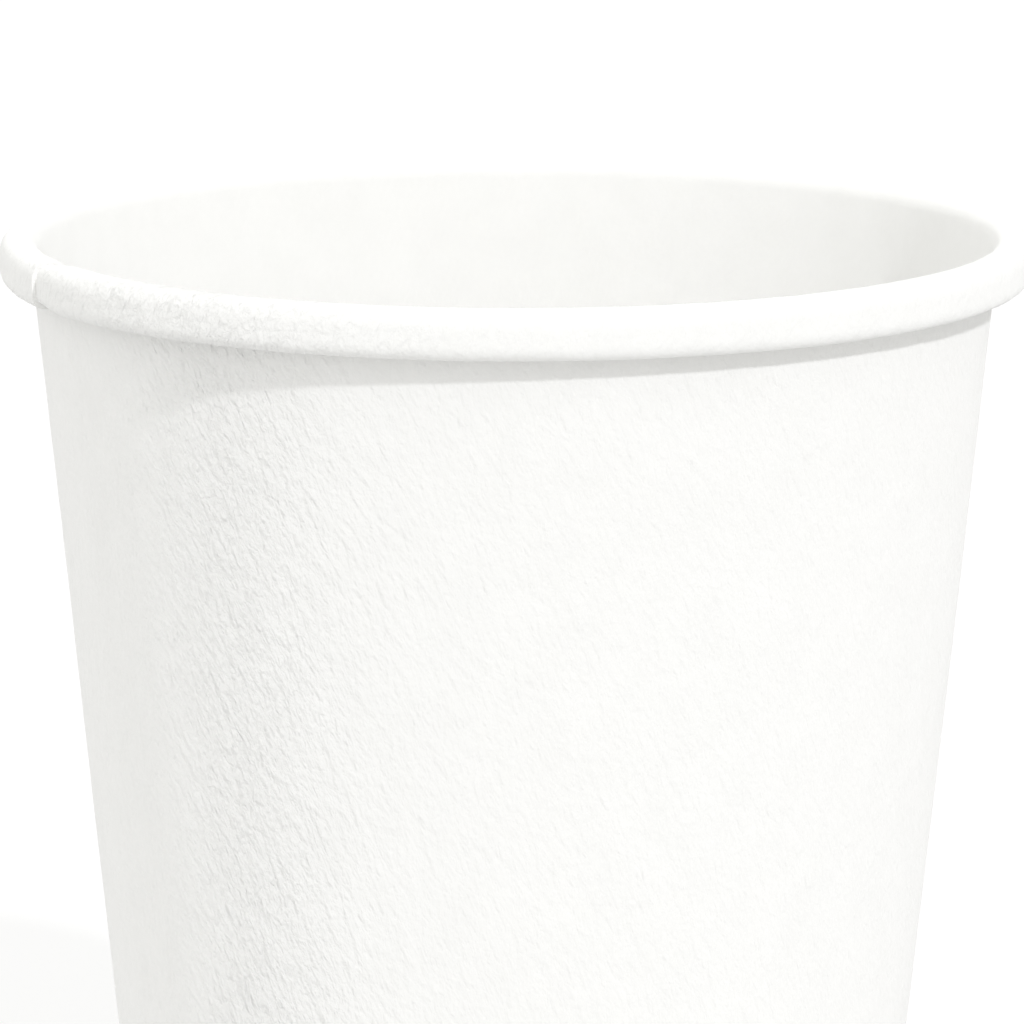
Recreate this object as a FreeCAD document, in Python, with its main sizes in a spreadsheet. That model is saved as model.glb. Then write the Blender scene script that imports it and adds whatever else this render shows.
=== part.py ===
import FreeCAD, Part
import math
import os
import Sketcher

# A single-walled paper cup: a cone of board with a lapped side seam, a curled rim and a
# turned-in foot, and a pressed base disc whose skirt is held in the foot.
# Millimetres, Z up, origin in the middle of the standing ring.

os.makedirs("parts", exist_ok=True)
doc = FreeCAD.newDocument("paper_cup")

# Driving sizes: millimetres and degrees
SIZES = [
    ("height", "92"),
    ("rim_radius", "40"),
    ("foot_radius", "28"),
    ("board", "0.35"),
    ("curl_width", "3.0"),
    ("curl_depth", "3.8"),
    ("curl_under_radius", "1.1"),
    ("curl_tuck_radius", "0.8"),
    ("curl_tuck_rise", "0.4"),
    ("base_board", "0.3"),
    ("base_rise", "7.2"),
    ("base_bend", "0.9"),
    ("glue_gap", "0.02"),
    ("skirt_end_gap", "0.1"),
    ("hem_rise", "5.8"),
    ("foot_rise", "1.2"),
    ("foot_flat", "0.45"),
    ("seam_azimuth", "204"),
    ("lap_degrees", "17"),
    ("ramp_degrees", "6"),
]
sheet = doc.addObject("Spreadsheet::Sheet", "Sizes")
for row, (name, value) in enumerate(SIZES, start=1):
    sheet.set(f"A{row}", name)
    sheet.set(f"B{row}", value)
    sheet.setAlias(f"B{row}", name)

# Worked sizes: the lean of the wall, whose outer face starts at the foot radius on the
# ground and runs into the curl's inner surface, and the fold under the skirt.
REACH = "(Sizes.rim_radius - Sizes.curl_width / 2 - Sizes.foot_radius)"
RISE = "(Sizes.height - Sizes.curl_width / 2)"
CURL_INSIDE = "(Sizes.curl_width / 2 - Sizes.board)"
FOLD = "(Sizes.board + Sizes.glue_gap + Sizes.base_board / 2)"
LEAN = f"atan2({REACH}; {RISE}) - asin({CURL_INSIDE} / hypot({REACH}; {RISE}))"
worked = doc.addObject("App::VarSet", "Worked")
worked.addProperty("App::PropertyAngle", "lean")
worked.addProperty("App::PropertyFloat", "fold_radius")
worked.addProperty("App::PropertyFloat", "fold_level")
worked.addProperty("App::PropertyFloat", "fold_along")
worked.setExpression("lean", LEAN)
worked.setExpression("fold_radius", FOLD)
worked.setExpression("fold_level", "sqrt(fold_radius ^ 2 - (Sizes.foot_flat / 2) ^ 2)")
worked.setExpression("fold_along", "(fold_level - fold_radius * sin(lean)) / cos(lean)")
doc.recompute()

# The same values in numbers, to draw each outline near its place before it is constrained
S = {name: float(getattr(sheet, name)) for name, _ in SIZES}
LEAN_DEGREES = worked.lean.Value
FOLD_RADIUS = worked.fold_radius
FOLD_LEVEL = worked.fold_level
FOLD_ALONG = worked.fold_along
FLAT_DEGREES = math.degrees(math.asin(S["foot_flat"] / 2 / FOLD_RADIUS))
COS = math.cos(math.radians(LEAN_DEGREES))
SIN = math.sin(math.radians(LEAN_DEGREES))

START, END, CENTRE = 1, 2, 3  # the points of a line or arc, as constraints name them
LEVEL, UPRIGHT = -1, -2  # the sketch's own horizontal and vertical axis
ORIGIN = LEVEL, START


def wall_point(along, inward):
    """A point of the section: so far up the wall's slope and so far inside its outer face."""
    x = S["foot_radius"] + along * SIN - inward * COS
    return FreeCAD.Vector(x, along * COS + inward * SIN, 0)


class Outline:
    """A closed outline in a plane through the cup's axis, drawn edge by edge, then constrained."""

    def __init__(self, body, name, azimuth):
        self.sketch = body.newObject("Sketcher::SketchObject", name)
        plane = next(f for f in body.Origin.OriginFeatures if f.Role == "XZ_Plane")
        self.sketch.AttachmentSupport = [(plane, "")]
        self.sketch.MapMode = "FlatFace"
        # A first turn of one degree gives the rotation its axis, and the azimuth then its angle.
        turn = FreeCAD.Rotation(FreeCAD.Vector(0, 1, 0), 1)
        self.sketch.AttachmentOffset = FreeCAD.Placement(FreeCAD.Vector(), turn)
        self.sketch.setExpression("AttachmentOffset.Rotation.Angle", azimuth)
        self.ends = []

    def line(self, start, end):
        edge = self.sketch.addGeometry(Part.LineSegment(start, end), False)
        self.ends.append((edge, START, END))
        return edge

    def arc(self, centre, radius, begin, finish):
        """An arc in degrees. One that runs clockwise is stored from its far end."""
        circle = Part.Circle(centre, FreeCAD.Vector(0, 0, 1), radius)
        low, high = math.radians(min(begin, finish)), math.radians(max(begin, finish))
        edge = self.sketch.addGeometry(Part.ArcOfCircle(circle, low, high), False)
        self.ends.append((edge, START, END) if begin < finish else (edge, END, START))
        return edge

    def add(self, kind, *items, size=None):
        number = self.sketch.addConstraint(Sketcher.Constraint(kind, *items))
        if size is not None:
            self.sketch.setExpression(f"Constraints[{number}]", size)

    def close(self, smooth):
        """Joins each edge to the next one: smoothly where both are named in smooth."""
        for this, after in zip(self.ends, self.ends[1:] + self.ends[:1]):
            kind = "Tangent" if (this[0], after[0]) in smooth else "Coincident"
            self.add(kind, this[0], this[2], after[0], after[1])

    def radius(self, edge, now, size):
        self.add("Radius", edge, now, size=size)

    def across(self, edge, end, now, size):
        self.add("DistanceX", *ORIGIN, edge, end, now, size=size)

    def up(self, edge, end, now, size):
        self.add("DistanceY", *ORIGIN, edge, end, now, size=size)

    def place(self, edge, end, along, inward, now):
        """Holds a point so far up the wall's slope and so far inside its outer face."""
        x = f"Sizes.foot_radius + ({along}) * sin(Worked.lean) - ({inward}) * cos(Worked.lean)"
        self.across(edge, end, now.x, x)
        self.up(edge, end, now.y, f"({along}) * cos(Worked.lean) + ({inward}) * sin(Worked.lean)")


def on_circle(centre, radius, degrees):
    turn = math.radians(degrees)
    return centre + FreeCAD.Vector(math.cos(turn), math.sin(turn), 0) * radius


def curl_outline(body, name, azimuth, layer):
    """The wall from the foot up and its curl, as layer 0 or as layer 1 just outside it."""
    o = Outline(body, name, azimuth)
    board = S["board"]
    c1 = FreeCAD.Vector(S["rim_radius"] - S["curl_width"] / 2, S["height"] - S["curl_width"] / 2, 0)
    c2 = FreeCAD.Vector(
        S["rim_radius"] - S["curl_under_radius"],
        S["height"] - S["curl_depth"] + S["curl_under_radius"],
        0,
    )
    c3 = c2 + FreeCAD.Vector(S["curl_tuck_radius"] - S["curl_under_radius"], S["curl_tuck_rise"], 0)
    radii = S["curl_width"] / 2, S["curl_under_radius"], S["curl_tuck_radius"]
    outside = [r - layer * board for r in radii]
    inside = [r - board for r in outside]
    turn = 180 - LEAN_DEGREES

    foot_in = wall_point(S["foot_rise"], board * (1 - layer))
    foot_out = wall_point(S["foot_rise"], -board * layer)
    # The face that the curl turns outwards
    wall_a = o.line(foot_in, on_circle(c1, outside[0], turn))
    top_a = o.arc(c1, outside[0], turn, 0)
    drop_a = o.line(on_circle(c1, outside[0], 0), on_circle(c2, outside[1], 0))
    under_a = o.arc(c2, outside[1], 0, -180)
    rise_a = o.line(on_circle(c2, outside[1], 180), on_circle(c3, outside[2], 180))
    tuck_a = o.arc(c3, outside[2], 180, 90)
    tip = o.line(on_circle(c3, outside[2], 90), on_circle(c3, inside[2], 90))
    # The face inside the curl, back down to the foot
    tuck_b = o.arc(c3, inside[2], 90, 180)
    rise_b = o.line(on_circle(c3, inside[2], 180), on_circle(c2, inside[1], 180))
    under_b = o.arc(c2, inside[1], -180, 0)
    drop_b = o.line(on_circle(c2, inside[1], 0), on_circle(c1, inside[0], 0))
    top_b = o.arc(c1, inside[0], 0, turn)
    wall_b = o.line(on_circle(c1, inside[0], turn), foot_out)
    foot = o.line(foot_out, foot_in)
    strip_a = [wall_a, top_a, drop_a, under_a, rise_a, tuck_a]
    strip_b = [tuck_b, rise_b, under_b, drop_b, top_b, wall_b]
    o.close({pair for strip in (strip_a, strip_b) for pair in zip(strip, strip[1:])})
    turns = [(top_a, top_b, "curl_width / 2"), (under_a, under_b, "curl_under_radius")]
    turns.append((tuck_a, tuck_b, "curl_tuck_radius"))
    for i, (a, b, size) in enumerate(turns):
        o.add("Coincident", a, CENTRE, b, CENTRE)
        o.radius(a, outside[i], f"Sizes.{size} - {layer} * Sizes.board")
        o.radius(b, inside[i], f"Sizes.{size} - {layer + 1} * Sizes.board")
    o.across(top_a, CENTRE, c1.x, "Sizes.rim_radius - Sizes.curl_width / 2")
    o.up(top_a, CENTRE, c1.y, "Sizes.height - Sizes.curl_width / 2")
    under_z = "Sizes.height - Sizes.curl_depth + Sizes.curl_under_radius"
    o.up(under_a, CENTRE, c2.y, under_z)
    o.up(tuck_a, CENTRE, c3.y, f"{under_z} + Sizes.curl_tuck_rise")
    o.add("Vertical", drop_a)
    o.add("Vertical", rise_a)
    o.add("Vertical", tip)
    o.add("PointOnObject", tuck_a, CENTRE, tip)
    o.add("Parallel", wall_a, wall_b)
    o.add("Perpendicular", foot, wall_b)
    o.place(wall_b, END, "Sizes.foot_rise", f"-{layer} * Sizes.board", foot_out)
    return o.sketch


def foot_outline(body, name, azimuth):
    """The fold at the foot: from the wall's lower edge under the skirt and up inside it."""
    o = Outline(body, name, azimuth)
    board = S["board"]
    inner = FOLD_RADIUS - board
    centre = wall_point(FOLD_ALONG, FOLD_RADIUS)
    back = 2 * FOLD_RADIUS
    low, high = -180 - LEAN_DEGREES, -LEAN_DEGREES
    wall_out = o.line(wall_point(S["foot_rise"], 0), wall_point(FOLD_ALONG, 0))
    flat = FreeCAD.Vector(S["foot_flat"] / 2, 0, 0)
    ground = FreeCAD.Vector(centre.x, 0, 0)
    fold_out = o.arc(centre, FOLD_RADIUS, high, -90 + FLAT_DEGREES)
    stand = o.line(ground + flat, ground - flat)
    fold_back = o.arc(centre, FOLD_RADIUS, -90 - FLAT_DEGREES, low)
    hem_out = o.line(wall_point(FOLD_ALONG, back), wall_point(S["hem_rise"], back))
    tip = o.line(wall_point(S["hem_rise"], back), wall_point(S["hem_rise"], back - board))
    hem_in = o.line(wall_point(S["hem_rise"], back - board), wall_point(FOLD_ALONG, back - board))
    fold_in = o.arc(centre, inner, low, high)
    wall_in = o.line(wall_point(FOLD_ALONG, board), wall_point(S["foot_rise"], board))
    top = o.line(wall_point(S["foot_rise"], board), wall_point(S["foot_rise"], 0))
    o.close(
        {
            (wall_out, fold_out),
            (fold_back, hem_out),
            (hem_in, fold_in),
            (fold_in, wall_in),
        }
    )
    o.add("Coincident", fold_out, CENTRE, fold_in, CENTRE)
    o.add("Coincident", fold_out, CENTRE, fold_back, CENTRE)
    o.radius(fold_out, FOLD_RADIUS, "Worked.fold_radius")
    o.add("Equal", fold_out, fold_back)
    o.radius(fold_in, inner, "Worked.fold_radius - Sizes.board")
    o.place(fold_out, CENTRE, "Worked.fold_along", "Worked.fold_radius", centre)
    o.add("PointOnObject", stand, START, LEVEL)
    o.add("PointOnObject", stand, END, LEVEL)
    o.place(wall_out, START, "Sizes.foot_rise", "0", wall_point(S["foot_rise"], 0))
    for edge in (wall_in, hem_in, hem_out):
        o.add("Parallel", edge, wall_out)
    o.add("Perpendicular", top, wall_out)
    o.add("Perpendicular", tip, wall_out)
    o.up(
        tip,
        START,
        wall_point(S["hem_rise"], back).y,
        "Sizes.hem_rise * cos(Worked.lean) + 2 * Worked.fold_radius * sin(Worked.lean)",
    )
    return o.sketch


def lap_foot_outline(body, name, azimuth, hem):
    """The lap's second layer at the foot, outside the wall or, as hem, inside the fold's hem."""
    o = Outline(body, name, azimuth)
    board = S["board"]
    side = -1 if hem else 1
    face = 2 * FOLD_RADIUS if hem else 0
    rise = "hem_rise" if hem else "foot_rise"
    outer = face - side * board
    middle = face + side * board / 2
    centre = wall_point(FOLD_ALONG, FOLD_RADIUS) + FreeCAD.Vector(side * board / COS, 0, 0)
    level = -180 - LEAN_DEGREES if hem else -LEAN_DEGREES
    ground = FreeCAD.Vector(centre.x, 0, 0)
    flat = FreeCAD.Vector(side * S["foot_flat"] / 2, 0, 0)
    face_line = o.line(wall_point(S[rise], outer), on_circle(centre, FOLD_RADIUS, level))
    bend = o.arc(centre, FOLD_RADIUS, level, -90 + side * FLAT_DEGREES)
    stand = o.line(ground + flat, ground)
    inset = o.line(ground, wall_point(FOLD_ALONG, middle))
    inside = o.line(wall_point(FOLD_ALONG, middle), wall_point(S[rise], middle))
    top = o.line(wall_point(S[rise], middle), wall_point(S[rise], outer))
    o.close({(face_line, bend)})
    o.radius(bend, FOLD_RADIUS, "Worked.fold_radius")
    o.up(bend, CENTRE, FOLD_LEVEL, "Worked.fold_level")
    o.add("PointOnObject", stand, START, LEVEL)
    o.add("PointOnObject", stand, END, LEVEL)
    o.add("Vertical", bend, CENTRE, inset, START)
    face_size = "2 * Worked.fold_radius" if hem else "0"
    middle_size = f"{face_size} + {side} * Sizes.board / 2"
    outer_size = f"{face_size} - {side} * Sizes.board"
    o.place(face_line, START, f"Sizes.{rise}", outer_size, wall_point(S[rise], outer))
    o.place(top, START, f"Sizes.{rise}", middle_size, wall_point(S[rise], middle))
    o.place(inside, START, "Worked.fold_along", middle_size, wall_point(FOLD_ALONG, middle))
    o.add("Perpendicular", top, face_line)
    return o.sketch


def base_outline(body, name):
    """The base disc: its flat panel, the bend at its rim and the skirt along the wall."""
    o = Outline(body, name, "0")
    skirt = S["board"] + S["glue_gap"]
    thick = S["base_board"]
    end = FOLD_ALONG + S["skirt_end_gap"]
    rise, bend = S["base_rise"], S["base_bend"]
    # The bend's centre, a bend and a board inside the skirt's outer face
    level = rise - bend - thick
    inward = skirt + thick + bend
    along = (level - inward * SIN) / COS
    centre = wall_point(along, inward)
    panel = o.line(FreeCAD.Vector(0, rise, 0), FreeCAD.Vector(centre.x, rise, 0))
    bend_out = o.arc(centre, bend + thick, 90, -LEAN_DEGREES)
    skirt_out = o.line(wall_point(along, skirt), wall_point(end, skirt))
    edge = o.line(wall_point(end, skirt), wall_point(end, skirt + thick))
    skirt_in = o.line(wall_point(end, skirt + thick), wall_point(along, skirt + thick))
    bend_in = o.arc(centre, bend, -LEAN_DEGREES, 90)
    under = o.line(FreeCAD.Vector(centre.x, rise - thick, 0), FreeCAD.Vector(0, rise - thick, 0))
    axis = o.line(FreeCAD.Vector(0, rise - thick, 0), FreeCAD.Vector(0, rise, 0))
    o.close({(panel, bend_out), (bend_out, skirt_out), (skirt_in, bend_in), (bend_in, under)})
    o.add("Coincident", bend_out, CENTRE, bend_in, CENTRE)
    o.radius(bend_out, bend + thick, "Sizes.base_bend + Sizes.base_board")
    o.radius(bend_in, bend, "Sizes.base_bend")
    o.add("Horizontal", panel)
    o.add("Horizontal", under)
    o.add("PointOnObject", axis, START, UPRIGHT)
    o.add("Vertical", axis)
    o.up(panel, START, rise, "Sizes.base_rise")
    skirt_size = "Sizes.board + Sizes.glue_gap"
    end_size = "Worked.fold_along + Sizes.skirt_end_gap"
    o.place(skirt_out, END, end_size, skirt_size, wall_point(end, skirt))
    inner_size = f"{skirt_size} + Sizes.base_board"
    o.place(skirt_in, START, end_size, inner_size, wall_point(end, skirt + thick))
    o.add("Perpendicular", edge, skirt_out)
    return o.sketch


def revolve(body, name, sketch, degrees, backwards=False):
    """Turns a section round the cup's axis, anticlockwise seen from above unless backwards."""
    turned = body.newObject("PartDesign::Revolution", name)
    turned.Profile = sketch
    turned.ReferenceAxis = (sketch, ["V_Axis"])
    turned.setExpression("Angle", degrees)
    turned.Reversed = backwards
    sketch.Visibility = False
    return turned


def make_sidewall():
    """The wrapped blank: foot all round, wall and curl up to the ramp, ramp, and the lap."""
    body = doc.addObject("PartDesign::Body", "sidewall")
    seam = "Sizes.seam_azimuth"
    foot = foot_outline(body, "foot_section", seam)
    wall = curl_outline(body, "wall_section", f"{seam} + Sizes.ramp_degrees", 0)
    lap = curl_outline(body, "lap_section", seam, 1)
    lap_foot = lap_foot_outline(body, "lap_foot_section", seam, False)
    lap_hem = lap_foot_outline(body, "lap_hem_section", seam, True)
    revolve(body, "foot", foot, "360")
    revolve(body, "wall_and_curl", wall, "360 - Sizes.ramp_degrees")
    # Past the inner layer's cut edge the outer layer comes down to the wall's own radius.
    ramp = body.newObject("PartDesign::AdditiveLoft", "ramp")
    ramp.Profile = wall
    ramp.Sections = [lap]
    ramp.Ruled = True
    revolve(body, "lap", lap, "Sizes.lap_degrees", backwards=True)
    revolve(body, "lap_foot", lap_foot, "Sizes.lap_degrees", backwards=True)
    revolve(body, "lap_hem", lap_hem, "Sizes.lap_degrees", backwards=True)
    return body


def make_base_disc():
    body = doc.addObject("PartDesign::Body", "base_disc")
    revolve(body, "disc_and_skirt", base_outline(body, "base_section"), "360")
    return body


bodies = [make_sidewall(), make_base_disc()]
doc.recompute()
for item in doc.Objects:
    if "Invalid" in item.State or "Error" in item.State:
        raise RuntimeError(f"{item.Name} failed: {item.State}")
for body in bodies:
    if body.Shape.isNull() or not body.Shape.isValid():
        raise RuntimeError(f"{body.Label} has no valid shape")
for body in bodies:
    body.Shape.exportStep(f"parts/{body.Label}.step")
    print(body.Label, round(body.Shape.Volume), "mm3", len(body.Shape.Solids), "solid")
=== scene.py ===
import math

import bmesh
import bpy
import numpy as np
from mathutils import Matrix, Vector, geometry, noise


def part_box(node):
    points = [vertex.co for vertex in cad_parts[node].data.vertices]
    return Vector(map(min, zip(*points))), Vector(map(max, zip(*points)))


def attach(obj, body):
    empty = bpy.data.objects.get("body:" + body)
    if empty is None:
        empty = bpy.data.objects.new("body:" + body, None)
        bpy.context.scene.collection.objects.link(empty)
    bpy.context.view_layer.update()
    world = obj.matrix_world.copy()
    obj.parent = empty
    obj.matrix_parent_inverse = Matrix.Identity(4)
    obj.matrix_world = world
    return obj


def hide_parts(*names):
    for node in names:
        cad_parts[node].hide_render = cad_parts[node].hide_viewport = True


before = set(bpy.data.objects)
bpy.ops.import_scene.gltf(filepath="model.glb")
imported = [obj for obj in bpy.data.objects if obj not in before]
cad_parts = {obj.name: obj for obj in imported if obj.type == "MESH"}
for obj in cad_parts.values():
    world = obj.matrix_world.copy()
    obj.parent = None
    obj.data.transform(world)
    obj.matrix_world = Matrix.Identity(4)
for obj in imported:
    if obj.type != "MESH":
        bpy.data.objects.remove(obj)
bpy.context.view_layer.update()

# A plain white paper cup. Its board is one strip section swept round the axis and lapped
# over itself at the seam, and its base is a pressed disc with a skirt. Millimetres up to
# the moment a mesh is made, then metres.

MM = 0.001

# Sizes of the cup, as its solids have them
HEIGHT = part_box("sidewall")[1].z / MM
RIM_RADIUS = 40.0
FOOT_RADIUS = 28.0
BOARD = 0.35
CURL_WIDTH = 3.0
CURL_DEPTH = 3.8
UNDER_RADIUS = 1.1
TUCK_RADIUS = 0.8
TUCK_RISE = 0.4
BASE_BOARD = 0.3
BASE_RISE = 7.2
BASE_BEND = 0.9
GLUE_GAP = 0.02
SKIRT_END_GAP = 0.1
HEM_RISE = 5.8
FOOT_FLAT = 0.45
SEAM_AZIMUTH = 204.0
LAP_DEGREES = 17.0
RAMP_DEGREES = 6.0

# The wall's lean, and the fold at its foot
CURL_X = RIM_RADIUS - CURL_WIDTH / 2
CURL_Z = HEIGHT - CURL_WIDTH / 2
REACH = CURL_X - FOOT_RADIUS
LEAN = math.atan2(REACH, CURL_Z) - math.asin((CURL_WIDTH / 2 - BOARD) / math.hypot(REACH, CURL_Z))
ALONG = np.array([math.sin(LEAN), math.cos(LEAN)])
OUTWARD = np.array([math.cos(LEAN), -math.sin(LEAN)])
FOLD_RADIUS = BOARD + GLUE_GAP + BASE_BOARD / 2
FOLD_LEVEL = math.sqrt(FOLD_RADIUS**2 - (FOOT_FLAT / 2) ** 2)
FOLD_ALONG = (FOLD_LEVEL - FOLD_RADIUS * math.sin(LEAN)) / math.cos(LEAN)

# Steps along the section, from the hem's tip to the curl's tip
INNER_STEPS = {"hem": 3, "fold": 6, "wall": 26, "top": 18, "drop": 3, "under": 14, "rise": 1, "tuck": 5}
OUTER_STEPS = {"hem": 10, "fold": 8, "wall": 72, "top": 8, "drop": 1, "under": 6, "rise": 1, "tuck": 3}
COLUMNS = 480  # round the cup

# The pressed ribs inside the foot
RIBS = 120
RIB_DEPTH = 0.05
RIB_START = 0.8
RIB_FADE = 0.6

# The board's own form
TEXTURE_RADIUS = 38.0  # where the board's grain is at its true size
LAP_PLAY = 1.02  # how many board thicknesses the lap stands off by
WAVE_DEPTH = 0.16
DIMPLE_DEPTH = 0.022
WRINKLE_DEPTH = 0.028
BUCKLE_DEPTH = 0.03
DISH_DEPTH = 0.12
DISH_WAVE = 0.05
HUB_RADIUS = 0.6  # where the base disc's rings end and its middle fan begins

# How strongly the relief shows, as a share of the material's full depth
CREASE_AZIMUTH = 232.0  # the middle of the band where the board is creased most
CREASE_SPREAD = 13.0  # on the wall
ROLL_SPREAD = 24.0  # on the rolled rim
PLAIN_RELIEF = 0.27
CREASE_RELIEF = 0.68
INNER_RELIEF = 0.04
ROLL_SHARE = 0.85
BASE_TOP_RELIEF = 0.35
BASE_UNDER_RELIEF = 0.8
WALL_RELIEF_DEPTH = 0.8
BASE_RELIEF_DEPTH = 0.15

# The light, which is kept below what would turn the wall and the inside pure white
FLOOR_REACH = 3.0  # metres
FLOOR_DROP = 0.02
FLOOR_BOUNCE = 0.73  # its colour as the cup sees it
FLOOR_GLOW = 0.5  # as the camera sees it, with the shadowed part below
FLOOR_PLAIN = 0.5
ROOM_COLOUR = (1.0, 0.998, 0.978, 1)
ROOM_LOW = 0.69  # strength at the horizon, and its growth and falling off with height
ROOM_GROWTH = 1.2
ROOM_FALL = 1.11
ROOM_LEFT = 0.24  # how much fuller it is at the left
KEY_ENERGY = 1.03
KEY_COLOUR = (1.0, 1.0, 1.02)
KEY_ANGLE = 3.2
KEY_SIDE = 31.5
KEY_RISE = 34.0


def wall_point(along, inward):
    return np.array([FOOT_RADIUS, 0.0]) + ALONG * along - OUTWARD * inward


class Path:
    """A line of the board's section: points, the direction from face to face, and lengths."""

    def __init__(self):
        self.points, self.normals, self.places = [], [], []
        self.length = 0.0

    def put(self, point, normal):
        if self.points:
            self.length += float(np.linalg.norm(point - self.points[-1]))
        self.points.append(np.array(point, float))
        self.normals.append(np.array(normal, float))
        self.places.append(self.length)

    def line(self, end, steps):
        start, normal = self.points[-1], self.normals[-1]
        for i in range(1, steps + 1):
            self.put(start + (end - start) * i / steps, normal)

    def arc(self, centre, radius, begin, finish, steps):
        """Degrees. The other face lies outside an anticlockwise bend and inside a clockwise one."""
        side = 1.0 if finish > begin else -1.0
        for i in range(1, steps + 1):
            turn = math.radians(begin + (finish - begin) * i / steps)
            spoke = np.array([math.cos(turn), math.sin(turn)])
            self.put(centre + spoke * radius, spoke * side)


def board_face(steps):
    """The face of the board that lies inside the cup, from the hem's tip to the curl's tip."""
    lean = math.degrees(LEAN)
    gap = 2 * FOLD_RADIUS - BOARD
    centre = wall_point(FOLD_ALONG, FOLD_RADIUS)
    curl = np.array([CURL_X, CURL_Z])
    beneath = np.array([RIM_RADIUS - UNDER_RADIUS, HEIGHT - CURL_DEPTH + UNDER_RADIUS])
    tucked = beneath + np.array([TUCK_RADIUS - UNDER_RADIUS, TUCK_RISE])
    path = Path()
    path.put(wall_point(HEM_RISE, gap), -OUTWARD)
    path.line(wall_point(FOLD_ALONG, gap), steps["hem"])
    path.arc(centre, FOLD_RADIUS - BOARD, 180 - lean, 360 - lean, steps["fold"])
    turn = math.radians(180 - lean)
    wall_end = curl + np.array([math.cos(turn), math.sin(turn)]) * CURL_WIDTH / 2
    path.line(wall_end, steps["wall"])
    path.arc(curl, CURL_WIDTH / 2, 180 - lean, 0, steps["top"])
    path.line(beneath + np.array([UNDER_RADIUS, 0]), steps["drop"])
    path.arc(beneath, UNDER_RADIUS, 0, -180, steps["under"])
    path.line(tucked - np.array([TUCK_RADIUS, 0]), steps["rise"])
    path.arc(tucked, TUCK_RADIUS, 180, 90, steps["tuck"])
    return path


def grain(u, v, size, stretch, slant, seed):
    """Soft noise on the board, in millimetres: size across the grain, longer along it."""
    c, s = math.cos(slant), math.sin(slant)
    a, b = (u * c - v * s) / size, (u * s + v * c) / (size * stretch)
    return noise.noise(Vector((a, b, seed)))


def smooth(t):
    t = min(max(t, 0.0), 1.0)
    return t * t * (3 - 2 * t)


def closed_loops(path_a, path_b):
    """One loop round the board's section: up one face and back down the other."""
    rows = [(p, n, s, 0.0) for p, n, s in zip(path_a.points, path_a.normals, path_a.places)]
    back = [(p, n, s, 1.0) for p, n, s in zip(path_b.points, path_b.normals, path_b.places)]
    return rows + back[::-1]


def wave(azimuth, height):
    """How far the wall bows in and out as a whole, in millimetres."""
    share = smooth(height / 25.0) * (1.0 - 0.75 * smooth((height - 60.0) / 30.0))
    c, s = math.cos(azimuth), math.sin(azimuth)
    broad = noise.noise(Vector((c * 1.3, s * 1.3, height / 45.0)))
    return WAVE_DEPTH * broad * share


def creased(degrees, spread):
    """How strongly the board is creased at an azimuth: most in a band beside the seam."""
    away = (degrees - CREASE_AZIMUTH + 180) % 360 - 180
    return PLAIN_RELIEF + CREASE_RELIEF * math.exp(-((away / spread) ** 2))


def make_mesh(name, points, faces, uvs, sharp, texture):
    """A smooth mesh with the board's own coordinates and its marked edges kept sharp."""
    mesh = bpy.data.meshes.new(name)
    mesh.from_pydata((points * MM).tolist(), [], faces)
    # Every face is turned to look out of the board
    outside = bmesh.new()
    outside.from_mesh(mesh)
    bmesh.ops.recalc_face_normals(outside, faces=outside.faces)
    outside.to_mesh(mesh)
    outside.free()
    mesh.update()
    layer = mesh.uv_layers.new(name="board")
    corners = np.empty(len(mesh.loops), np.int32)
    mesh.loops.foreach_get("vertex_index", corners)
    layer.data.foreach_set("uv", (uvs[corners] * MM).astype(np.float32).ravel())
    relief = mesh.attributes.new("relief", "FLOAT", "POINT")
    relief.data.foreach_set("value", texture.astype(np.float32))
    mesh.polygons.foreach_set("use_smooth", [True] * len(mesh.polygons))
    ends = np.empty(len(mesh.edges) * 2, np.int32)
    mesh.edges.foreach_get("vertices", ends)
    ends = ends.reshape(-1, 2)
    marked = mesh.attributes.new("sharp_edge", "BOOLEAN", "EDGE")
    marked.data.foreach_set("value", sharp[ends].all(axis=1))
    piece = bpy.data.objects.new(name, mesh)
    bpy.context.scene.collection.objects.link(piece)
    return piece


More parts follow.
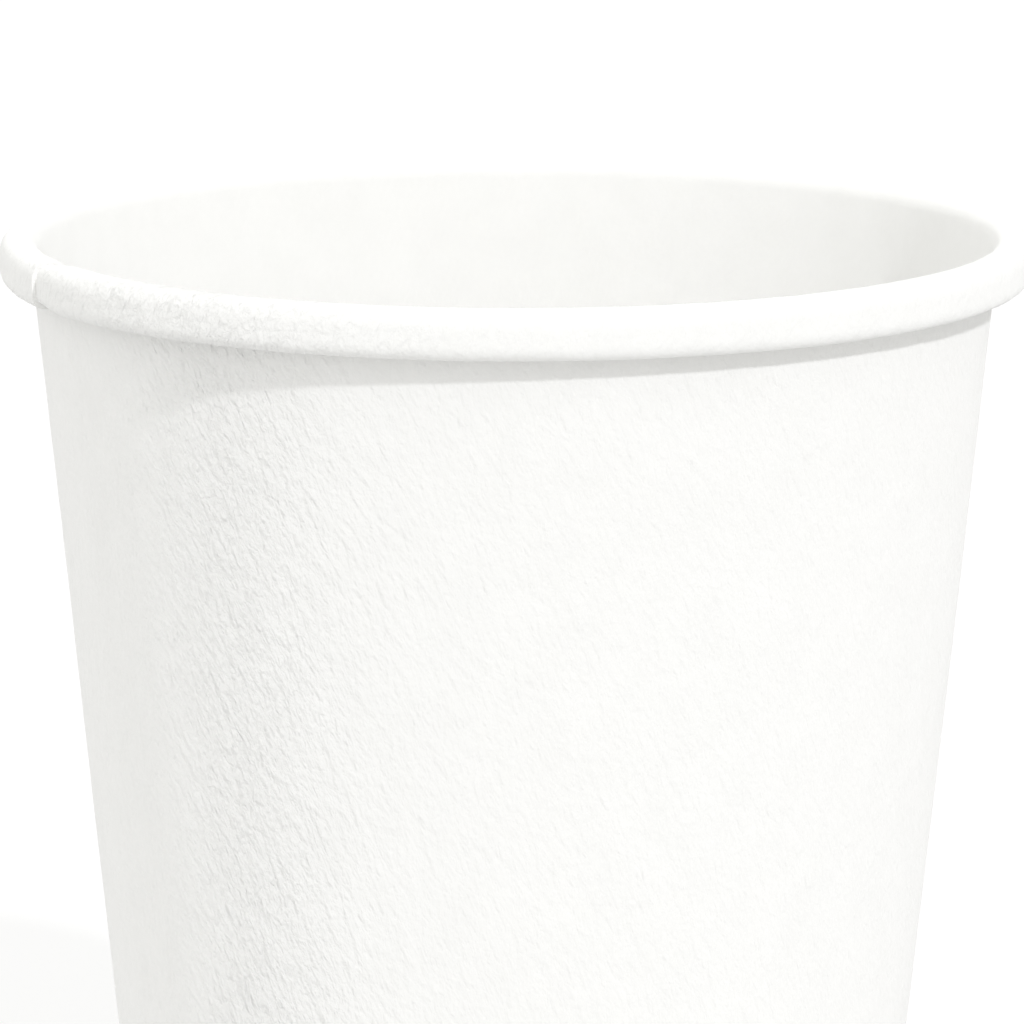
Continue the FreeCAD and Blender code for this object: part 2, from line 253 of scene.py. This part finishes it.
def make_sidewall():
    """The wrapped board: it starts at the inner cut edge, goes once round and laps over itself."""
    face_a = board_face(INNER_STEPS)
    face_b = board_face(OUTER_STEPS)
    rows = closed_loops(face_a, face_b)
    count = len(rows)
    foot_end = 2 * HEM_RISE  # along the section, the hem and the foot that the lap keeps level
    step = 360.0 / COLUMNS
    turned = [i * step for i in range(int((360 + LAP_DEGREES) / step) + 1)]
    turned[-1] = 360 + LAP_DEGREES
    points, uvs, texture = [], [], []
    for around in turned:
        azimuth = math.radians(SEAM_AZIMUTH - around)
        layer = smooth((around - 360 + RAMP_DEGREES) / RAMP_DEGREES)
        across = math.radians(around) * TEXTURE_RADIUS
        for point, normal, place, side in rows:
            lift = layer * BOARD * LAP_PLAY + side * BOARD
            r, z = point + normal * side * BOARD
            if place < foot_end and z < 1.5:
                r += normal[0] * layer * BOARD
            else:
                r, z = point + normal * lift
            z = max(z, 0.0)
            on_curl = smooth((point[1] - (HEIGHT - CURL_DEPTH - 2.5)) / 2.5)
            if side and z > 1.0 and place > foot_end:
                coarse = grain(across, place, 1.7, 2.6, 0.42, 3.0)
                r += DIMPLE_DEPTH * coarse * (1 - on_curl)
            elif not side and on_curl > 0:
                wrinkle = grain(across, place, 0.9, 2.4, 0.5, 9.0) * WRINKLE_DEPTH
                wrinkle += grain(across, place, 3.0, 1.2, 0.0, 12.0) * BUCKLE_DEPTH
                r -= normal[0] * wrinkle * on_curl
                z -= normal[1] * wrinkle * on_curl
            r += wave(azimuth, point[1])
            if place < foot_end and side and r < FOOT_RADIUS and z > RIB_START:
                rib = math.cos(math.radians(around) * RIBS)
                fade = smooth((z - RIB_START) / RIB_FADE)
                r += RIB_DEPTH * rib * fade * smooth((HEM_RISE - 0.3 - z) / RIB_FADE)
            points.append((r * math.cos(azimuth), r * math.sin(azimuth), z))
            uvs.append((across, place))
            if side:
                texture.append(creased(SEAM_AZIMUTH - around, CREASE_SPREAD))
            else:
                rolled = smooth((point[0] - CURL_X + 0.6) / 1.6) * on_curl
                strength = creased(SEAM_AZIMUTH - around, ROLL_SPREAD)
                texture.append(INNER_RELIEF + ROLL_SHARE * strength * rolled)
    faces = []
    for j in range(len(turned) - 1):
        a, b = j * count, (j + 1) * count
        for i in range(count):
            k = (i + 1) % count
            faces.append((a + i, a + k, b + k, b + i))
    for column, flip in ((0, True), (len(turned) - 1, False)):
        base = column * count
        outline = [Vector((point[0], point[1], 0)) for point in section_points(rows)]
        for tri in geometry.tessellate_polygon([outline]):
            tri = tri[::-1] if flip else tri
            faces.append(tuple(base + t for t in tri))
    sharp = np.zeros(len(points), bool)
    tips = {0, len(face_a.points) - 1, len(face_a.points), count - 1}
    for j in range(len(turned)):
        for i in tips:
            sharp[j * count + i] = True
    sharp[:count] = True
    sharp[-count:] = True
    return make_mesh(
        "wrapped_sidewall", np.array(points), faces, np.array(uvs), sharp, np.array(texture)
    )


def section_points(rows):
    return [point + normal * side * BOARD for point, normal, _, side in rows]


def base_face():
    """The upper face of the base disc from its middle to the end of the skirt."""
    lean = math.degrees(LEAN)
    skirt = BOARD + GLUE_GAP
    inward = skirt + BASE_BOARD + BASE_BEND
    along = (BASE_RISE - BASE_BEND - BASE_BOARD - inward * math.sin(LEAN)) / math.cos(LEAN)
    centre = wall_point(along, inward)
    path = Path()
    path.put(np.array([HUB_RADIUS, BASE_RISE]), np.array([0.0, -1.0]))
    path.line(np.array([centre[0], BASE_RISE]), 22)
    path.arc(centre, BASE_BEND + BASE_BOARD, 90, -lean, 10)
    path.line(wall_point(FOLD_ALONG + SKIRT_END_GAP, skirt), 8)
    return path


def make_base_disc():
    rows = closed_loops(base_face(), base_face())
    count = len(rows)
    columns = COLUMNS // 2
    points, uvs, texture = [], [], []
    for j in range(columns):
        azimuth = math.tau * j / columns
        for point, normal, place, side in rows:
            r, z = point + normal * side * BASE_BOARD
            dish = smooth((26.0 - r) / 14.0)
            z -= DISH_DEPTH * dish
            c, s = math.cos(azimuth), math.sin(azimuth)
            if z > BASE_RISE - 1:
                z += DISH_WAVE * noise.noise(Vector((r * c / 9, r * s / 9, 2.0))) * dish
            points.append((r * c, r * s, z))
            uvs.append((r * c, r * s) if z > BASE_RISE - 1 else (azimuth * FOOT_RADIUS, place))
            texture.append(BASE_UNDER_RELIEF if side else BASE_TOP_RELIEF)
    faces = []
    for j in range(columns):
        a, b = j * count, ((j + 1) % columns) * count
        for i in range(count - 1):
            faces.append((a + i, b + i, b + i + 1, a + i + 1))
    middle = [BASE_RISE - DISH_DEPTH, BASE_RISE - BASE_BOARD - DISH_DEPTH]
    for end, z in ((0, middle[0]), (count - 1, middle[1])):
        hub = len(points)
        points.append((0.0, 0.0, z))
        uvs.append((0.0, 0.0))
        texture.append(texture[end])
        for j in range(columns):
            a, b = j * count + end, ((j + 1) % columns) * count + end
            faces.append((hub, b, a) if end else (hub, a, b))
    sharp = np.zeros(len(points), bool)
    half = count // 2
    for j in range(columns):
        sharp[j * count + half - 1] = sharp[j * count + half] = True
    return make_mesh(
        "pressed_base", np.array(points), faces, np.array(uvs), sharp, np.array(texture)
    )


class Nodes:
    """A small helper for a material's node tree."""

    def __init__(self, tree):
        self.tree = tree
        tree.nodes.clear()

    def new(self, kind, **settings):
        node = self.tree.nodes.new(kind)
        for name, value in settings.items():
            setattr(node, name, value)
        return node

    def link(self, source, target):
        self.tree.links.new(source, target)

    def math(self, operation, first, second=None):
        node = self.new("ShaderNodeMath", operation=operation)
        for socket, value in zip(node.inputs, (first, second)):
            if value is None:
                continue
            if isinstance(value, (int, float)):
                socket.default_value = value
            else:
                self.link(value, socket)
        return node.outputs[0]


def board_noise(nodes, uv, size, stretch, slant, detail, distortion):
    """Noise with its grain size in millimetres, stretched along a slanted direction."""
    mapping = nodes.new("ShaderNodeMapping", vector_type="TEXTURE")
    mapping.inputs["Rotation"].default_value = (0, 0, slant)
    mapping.inputs["Scale"].default_value = (size * MM, size * stretch * MM, 1)
    nodes.link(uv, mapping.inputs["Vector"])
    texture = nodes.new("ShaderNodeTexNoise")
    texture.inputs["Scale"].default_value = 1.0
    texture.inputs["Detail"].default_value = detail
    texture.inputs["Roughness"].default_value = 0.55
    texture.inputs["Distortion"].default_value = distortion
    nodes.link(mapping.outputs[0], texture.inputs["Vector"])
    return texture.outputs["Fac"]


def board_material(name, relief):
    """Uncoated white board: leathery slanted creases, fine fibre grain and faint clouding."""
    material = bpy.data.materials.new(name)
    material.use_nodes = True
    nodes = Nodes(material.node_tree)
    out = nodes.new("ShaderNodeOutputMaterial")
    shader = nodes.new("ShaderNodeBsdfPrincipled")
    nodes.link(shader.outputs[0], out.inputs["Surface"])
    shader.inputs["IOR"].default_value = 1.45
    shader.inputs["Specular IOR Level"].default_value = 0.05
    shader.inputs["Diffuse Roughness"].default_value = 0.5
    uv = nodes.new("ShaderNodeUVMap", uv_map="board").outputs[0]
    lumps = board_noise(nodes, uv, 0.75, 2.5, -0.42, 2.0, 0.2)
    folds = board_noise(nodes, uv, 1.5, 2.2, -0.38, 3.0, 0.3)
    centred = nodes.math("SUBTRACT", nodes.math("MULTIPLY", folds, 2.0), 1.0)
    creases = nodes.math("ABSOLUTE", centred)
    flakes = board_noise(nodes, uv, 0.4, 1.4, -0.4, 3.0, 0.3)
    fibres = board_noise(nodes, uv, 0.14, 1.2, -0.5, 2.0, 0.0)
    clouds = board_noise(nodes, uv, 4.0, 1.3, 0.2, 2.0, 0.0)
    broad = nodes.math("MULTIPLY", lumps, 0.55)
    height = nodes.math("ADD", broad, nodes.math("MULTIPLY", creases, 0.45))
    height = nodes.math("ADD", height, nodes.math("MULTIPLY", flakes, 0.3))
    height = nodes.math("ADD", height, nodes.math("MULTIPLY", fibres, 0.08))
    where = nodes.new("ShaderNodeAttribute", attribute_name="relief").outputs["Fac"]
    bump = nodes.new("ShaderNodeBump")
    bump.inputs["Strength"].default_value = 1.0
    bump.inputs["Distance"].default_value = relief * MM
    nodes.link(nodes.math("MULTIPLY", height, where), bump.inputs["Height"])
    nodes.link(bump.outputs[0], shader.inputs["Normal"])
    tint = nodes.new("ShaderNodeMix", data_type="RGBA")
    tint.inputs[6].default_value = (0.885, 0.885, 0.875, 1)
    tint.inputs[7].default_value = (0.945, 0.944, 0.937, 1)
    cloudy = nodes.math("MULTIPLY", clouds, 0.6)
    shade = nodes.math("ADD", cloudy, nodes.math("MULTIPLY", flakes, 0.4))
    nodes.link(shade, tint.inputs[0])
    nodes.link(tint.outputs[2], shader.inputs["Base Color"])
    rough = nodes.new("ShaderNodeMapRange")
    rough.inputs["To Min"].default_value = 0.78
    rough.inputs["To Max"].default_value = 0.95
    nodes.link(flakes, rough.inputs["Value"])
    nodes.link(rough.outputs[0], shader.inputs["Roughness"])
    return material


def make_floor():
    """A plain pale floor that the camera sees as near white, with the cup's soft shadow."""
    mesh = bpy.data.meshes.new("floor")
    reach = FLOOR_REACH
    corners = [(-reach, -reach, 0), (reach, -reach, 0), (reach, reach, 0), (-reach, reach, 0)]
    mesh.from_pydata(corners, [], [(0, 1, 2, 3)])
    floor = bpy.data.objects.new("floor", mesh)
    floor.location.z = -FLOOR_DROP * MM
    bpy.context.scene.collection.objects.link(floor)
    material = bpy.data.materials.new("floor_white")
    material.use_nodes = True
    nodes = Nodes(material.node_tree)
    out = nodes.new("ShaderNodeOutputMaterial")
    seen = nodes.new("ShaderNodeMixShader")
    bounce = nodes.new("ShaderNodeBsdfDiffuse")
    bounce.inputs["Color"].default_value = (FLOOR_BOUNCE, FLOOR_BOUNCE, FLOOR_BOUNCE, 1)
    both = nodes.new("ShaderNodeAddShader")
    glow = nodes.new("ShaderNodeEmission")
    glow.inputs["Strength"].default_value = FLOOR_GLOW
    plain = nodes.new("ShaderNodeBsdfDiffuse")
    plain.inputs["Color"].default_value = (FLOOR_PLAIN, FLOOR_PLAIN, FLOOR_PLAIN, 1)
    path = nodes.new("ShaderNodeLightPath")
    nodes.link(glow.outputs[0], both.inputs[0])
    nodes.link(plain.outputs[0], both.inputs[1])
    nodes.link(path.outputs["Is Camera Ray"], seen.inputs[0])
    nodes.link(bounce.outputs[0], seen.inputs[1])
    nodes.link(both.outputs[0], seen.inputs[2])
    nodes.link(seen.outputs[0], out.inputs["Surface"])
    mesh.materials.append(material)


def make_world():
    """Soft white light, fullest about half-way up and fuller at the left, on a white background."""
    world = bpy.data.worlds.new("white_room")
    bpy.context.scene.world = world
    world.use_nodes = True
    nodes = Nodes(world.node_tree)
    out = nodes.new("ShaderNodeOutputWorld")
    mix = nodes.new("ShaderNodeMixShader")
    room = nodes.new("ShaderNodeBackground")
    room.inputs["Color"].default_value = ROOM_COLOUR
    direction = nodes.new("ShaderNodeTexCoord").outputs["Generated"]
    split = nodes.new("ShaderNodeSeparateXYZ")
    nodes.link(direction, split.inputs[0])
    # By the sine of the height above the horizon
    rise = nodes.math("MAXIMUM", split.outputs["Z"], 0.0)
    above = nodes.math("SUBTRACT", ROOM_GROWTH, nodes.math("MULTIPLY", rise, ROOM_FALL))
    above = nodes.math("ADD", nodes.math("MULTIPLY", rise, above), ROOM_LOW)
    leftward = nodes.math("ADD", nodes.math("MULTIPLY", split.outputs["X"], -ROOM_LEFT), 1.0)
    nodes.link(nodes.math("MULTIPLY", above, leftward), room.inputs["Strength"])
    white = nodes.new("ShaderNodeBackground")
    path = nodes.new("ShaderNodeLightPath")
    seen = nodes.math("MAXIMUM", path.outputs["Is Camera Ray"], path.outputs["Is Glossy Ray"])
    seen = nodes.math("MAXIMUM", seen, path.outputs["Is Transmission Ray"])
    nodes.link(seen, mix.inputs[0])
    nodes.link(room.outputs[0], mix.inputs[1])
    nodes.link(white.outputs[0], mix.inputs[2])
    nodes.link(mix.outputs[0], out.inputs["Surface"])


def make_key_light():
    """A soft key light from the right of the viewer and above."""
    lamp = bpy.data.lights.new("key", "SUN")
    lamp.energy = KEY_ENERGY
    lamp.color = KEY_COLOUR
    lamp.angle = math.radians(KEY_ANGLE)
    key = bpy.data.objects.new("key", lamp)
    side, rise = math.radians(KEY_SIDE), math.radians(KEY_RISE)
    level = math.cos(rise)
    towards = Vector((math.sin(side) * level, -math.cos(side) * level, math.sin(rise)))
    key.rotation_euler = towards.to_track_quat("Z", "Y").to_euler()
    bpy.context.scene.collection.objects.link(key)


def make_camera():
    """The photograph's view: a long lens, a little above the rim."""
    distance = 14 * RIM_RADIUS * MM
    elevation = math.radians(8.84)
    pitch, yaw, roll = math.radians(-10.9), math.radians(-0.033), math.radians(0.038)
    focal_pixels, frame_pixels = 7210.0, 1024.0
    camera = bpy.data.cameras.new("camera")
    camera.sensor_width = 36.0
    camera.lens = focal_pixels * camera.sensor_width / frame_pixels
    camera.clip_start, camera.clip_end = 0.01, 20.0
    view = bpy.data.objects.new("camera", camera)
    rim = (HEIGHT - CURL_DEPTH / 2) * MM
    ahead = Vector(
        (math.sin(yaw) * math.cos(pitch), math.cos(yaw) * math.cos(pitch), math.sin(pitch))
    )
    right = Vector((math.cos(yaw), -math.sin(yaw), 0))
    up = right.cross(ahead)
    turned = right * math.cos(roll) + up * math.sin(roll)
    raised = up * math.cos(roll) - right * math.sin(roll)
    rotation = Matrix((turned, raised, -ahead)).transposed().to_4x4()
    place = Vector((0, -distance * math.cos(elevation), rim + distance * math.sin(elevation)))
    view.matrix_world = Matrix.Translation(place) @ rotation
    bpy.context.scene.collection.objects.link(view)
    bpy.context.scene.camera = view


sidewall = make_sidewall()
sidewall.data.materials.append(board_material("cup_board", WALL_RELIEF_DEPTH))
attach(sidewall, "root")
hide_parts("sidewall")

base = make_base_disc()
base.data.materials.append(board_material("base_board", BASE_RELIEF_DEPTH))
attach(base, "root")
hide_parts("base_disc")

make_floor()
make_world()
make_key_light()
make_camera()
bpy.context.scene.view_settings.view_transform = "Standard"
bpy.context.scene.cycles.diffuse_bounces = 8
